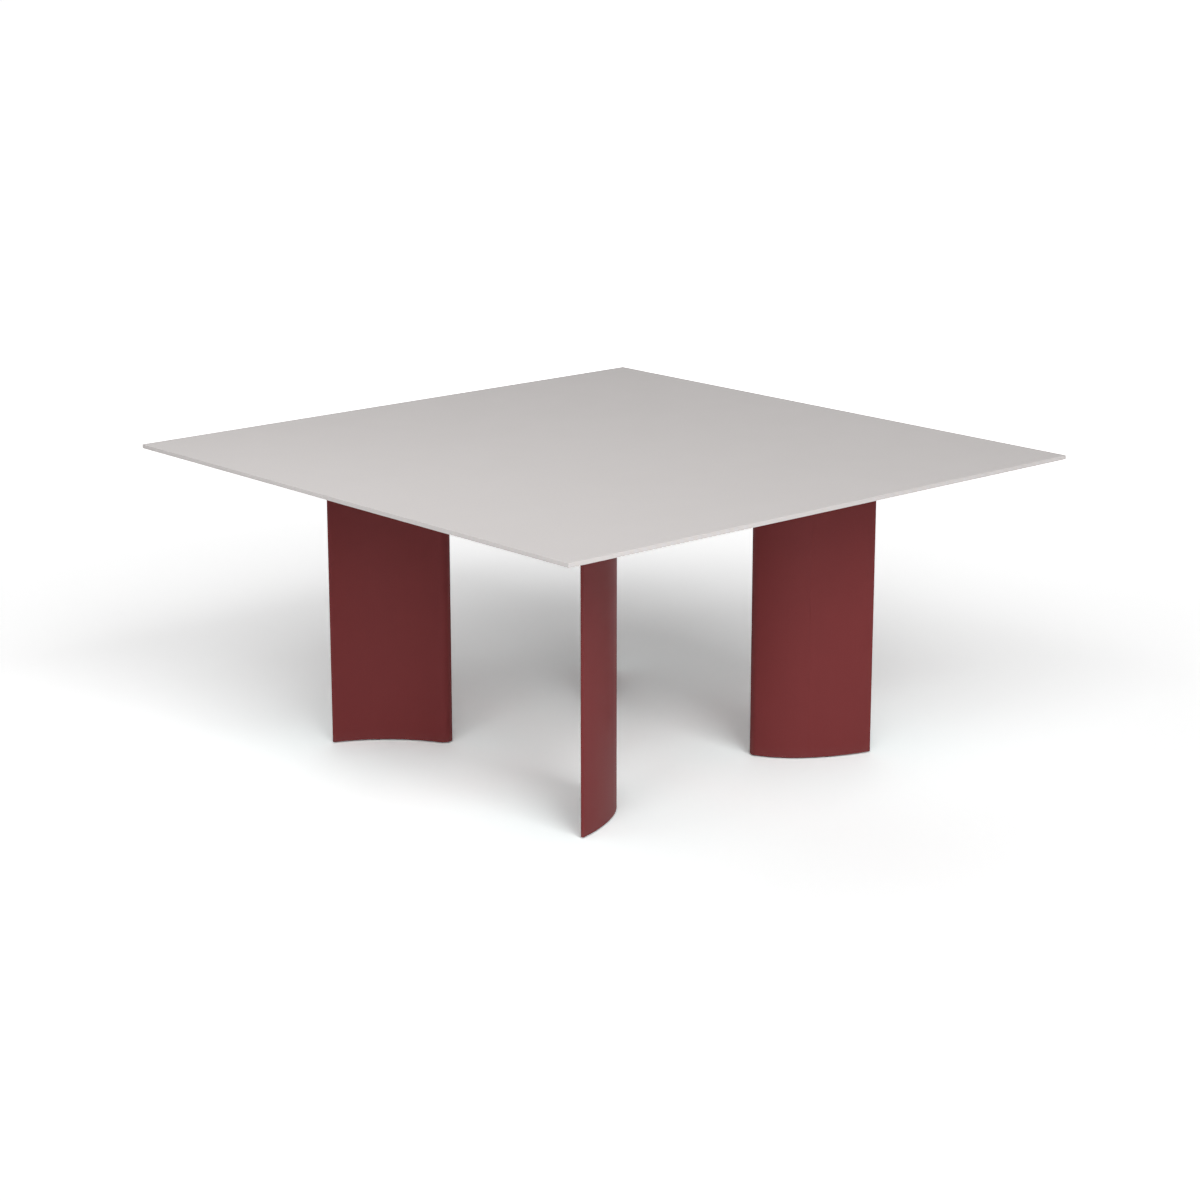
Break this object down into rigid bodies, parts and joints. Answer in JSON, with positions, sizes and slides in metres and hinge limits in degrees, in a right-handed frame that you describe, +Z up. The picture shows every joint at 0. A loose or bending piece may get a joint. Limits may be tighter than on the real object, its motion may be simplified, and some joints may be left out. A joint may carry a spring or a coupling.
{
  "type": "dining table",
  "caption": "Square dining table with a thin plain top on upright wing-section blade legs that turn their thick noses inwards, tied by a hidden cross frame and standing on levelling feet.",
  "frame": {"origin": "on the floor under the middle of the top", "axes": "+Z up, X and Y along the sides of the top, -Y is the front"},
  "size_m": [1.55, 1.55, 0.74],
  "materials": {
    "top_laminate": "super-matt greige compact laminate",
    "leg_coating": "satin brown-red powder coat on aluminium",
    "frame_coating": "satin brown-red powder coat on steel",
    "plate_zinc": "zinc-plated steel",
    "screw_zinc": "bright zinc-plated steel",
    "insert_brass": "plain turned brass",
    "foot_pad": "black moulded nylon"
  },
  "bodies": {
    "table": {"table_top": "top_laminate", "leg_front_right": "leg_coating", "head_plate_front_right": "frame_coating", "base_plate_front_right": "plate_zinc", "leg_front_left": "leg_coating", "head_plate_front_left": "frame_coating", "base_plate_front_left": "plate_zinc", "leg_back_right": "leg_coating", "head_plate_back_right": "frame_coating", "base_plate_back_right": "plate_zinc", "leg_back_left": "leg_coating", "head_plate_back_left": "frame_coating", "base_plate_back_left": "plate_zinc", "cross_beam_lower": "frame_coating", "cross_beam_upper": "frame_coating", "top_screws": "screw_zinc", "top_washers": "screw_zinc", "head_plate_screws": "screw_zinc", "base_plate_screws": "screw_zinc", "beam_screws": "screw_zinc", "lap_screw": "screw_zinc", "top_inserts": "insert_brass", "foot_bushes": "plate_zinc"},
    "pad_front_right_nose": {"foot_pad_front_right_nose": "foot_pad"},
    "stem_front_right_nose": {"foot_stem_front_right_nose": "screw_zinc"},
    "pad_front_right_tip": {"foot_pad_front_right_tip": "foot_pad"},
    "stem_front_right_tip": {"foot_stem_front_right_tip": "screw_zinc"},
    "pad_front_left_nose": {"foot_pad_front_left_nose": "foot_pad"},
    "stem_front_left_nose": {"foot_stem_front_left_nose": "screw_zinc"},
    "pad_front_left_tip": {"foot_pad_front_left_tip": "foot_pad"},
    "stem_front_left_tip": {"foot_stem_front_left_tip": "screw_zinc"},
    "pad_back_right_nose": {"foot_pad_back_right_nose": "foot_pad"},
    "stem_back_right_nose": {"foot_stem_back_right_nose": "screw_zinc"},
    "pad_back_right_tip": {"foot_pad_back_right_tip": "foot_pad"},
    "stem_back_right_tip": {"foot_stem_back_right_tip": "screw_zinc"},
    "pad_back_left_nose": {"foot_pad_back_left_nose": "foot_pad"},
    "stem_back_left_nose": {"foot_stem_back_left_nose": "screw_zinc"},
    "pad_back_left_tip": {"foot_pad_back_left_tip": "foot_pad"},
    "stem_back_left_tip": {"foot_stem_back_left_tip": "screw_zinc"}
  },
  "joints": [
    {"name": "foot_slide_front_right_nose", "type": "slide", "parent": "table", "child": "pad_front_right_nose", "axis": [0, 0, -1], "range_m": [0, 0.01]},
    {"name": "foot_turn_front_right_nose", "type": "hinge", "parent": "pad_front_right_nose", "child": "stem_front_right_nose", "pos_m": [0.25175, -0.29365, 0.0115], "axis": [0, 0, -1], "range_deg": [0, 2880]},
    {"name": "foot_slide_front_right_tip", "type": "slide", "parent": "table", "child": "pad_front_right_tip", "axis": [0, 0, -1], "range_m": [0, 0.01]},
    {"name": "foot_turn_front_right_tip", "type": "hinge", "parent": "pad_front_right_tip", "child": "stem_front_right_tip", "pos_m": [0.36178, -0.41348, 0.0115], "axis": [0, 0, -1], "range_deg": [0, 2880]},
    {"name": "foot_slide_front_left_nose", "type": "slide", "parent": "table", "child": "pad_front_left_nose", "axis": [0, 0, -1], "range_m": [0, 0.01]},
    {"name": "foot_turn_front_left_nose", "type": "hinge", "parent": "pad_front_left_nose", "child": "stem_front_left_nose", "pos_m": [-0.25175, -0.29365, 0.0115], "axis": [0, 0, -1], "range_deg": [0, 2880]},
    {"name": "foot_slide_front_left_tip", "type": "slide", "parent": "table", "child": "pad_front_left_tip", "axis": [0, 0, -1], "range_m": [0, 0.01]},
    {"name": "foot_turn_front_left_tip", "type": "hinge", "parent": "pad_front_left_tip", "child": "stem_front_left_tip", "pos_m": [-0.36178, -0.41348, 0.0115], "axis": [0, 0, -1], "range_deg": [0, 2880]},
    {"name": "foot_slide_back_right_nose", "type": "slide", "parent": "table", "child": "pad_back_right_nose", "axis": [0, 0, -1], "range_m": [0, 0.01]},
    {"name": "foot_turn_back_right_nose", "type": "hinge", "parent": "pad_back_right_nose", "child": "stem_back_right_nose", "pos_m": [0.25175, 0.29365, 0.0115], "axis": [0, 0, -1], "range_deg": [0, 2880]},
    {"name": "foot_slide_back_right_tip", "type": "slide", "parent": "table", "child": "pad_back_right_tip", "axis": [0, 0, -1], "range_m": [0, 0.01]},
    {"name": "foot_turn_back_right_tip", "type": "hinge", "parent": "pad_back_right_tip", "child": "stem_back_right_tip", "pos_m": [0.36178, 0.41348, 0.0115], "axis": [0, 0, -1], "range_deg": [0, 2880]},
    {"name": "foot_slide_back_left_nose", "type": "slide", "parent": "table", "child": "pad_back_left_nose", "axis": [0, 0, -1], "range_m": [0, 0.01]},
    {"name": "foot_turn_back_left_nose", "type": "hinge", "parent": "pad_back_left_nose", "child": "stem_back_left_nose", "pos_m": [-0.25175, 0.29365, 0.0115], "axis": [0, 0, -1], "range_deg": [0, 2880]},
    {"name": "foot_slide_back_left_tip", "type": "slide", "parent": "table", "child": "pad_back_left_tip", "axis": [0, 0, -1], "range_m": [0, 0.01]},
    {"name": "foot_turn_back_left_tip", "type": "hinge", "parent": "pad_back_left_tip", "child": "stem_back_left_tip", "pos_m": [-0.36178, 0.41348, 0.0115], "axis": [0, 0, -1], "range_deg": [0, 2880]}
  ],
  "couplings": [
    {"joint": "foot_turn_front_right_nose", "follows": "foot_slide_front_right_nose", "rad_per_m": 5026.5},
    {"joint": "foot_turn_front_right_tip", "follows": "foot_slide_front_right_tip", "rad_per_m": 5026.5},
    {"joint": "foot_turn_front_left_nose", "follows": "foot_slide_front_left_nose", "rad_per_m": 5026.5},
    {"joint": "foot_turn_front_left_tip", "follows": "foot_slide_front_left_tip", "rad_per_m": 5026.5},
    {"joint": "foot_turn_back_right_nose", "follows": "foot_slide_back_right_nose", "rad_per_m": 5026.5},
    {"joint": "foot_turn_back_right_tip", "follows": "foot_slide_back_right_tip", "rad_per_m": 5026.5},
    {"joint": "foot_turn_back_left_nose", "follows": "foot_slide_back_left_nose", "rad_per_m": 5026.5},
    {"joint": "foot_turn_back_left_tip", "follows": "foot_slide_back_left_tip", "rad_per_m": 5026.5}
  ]
}
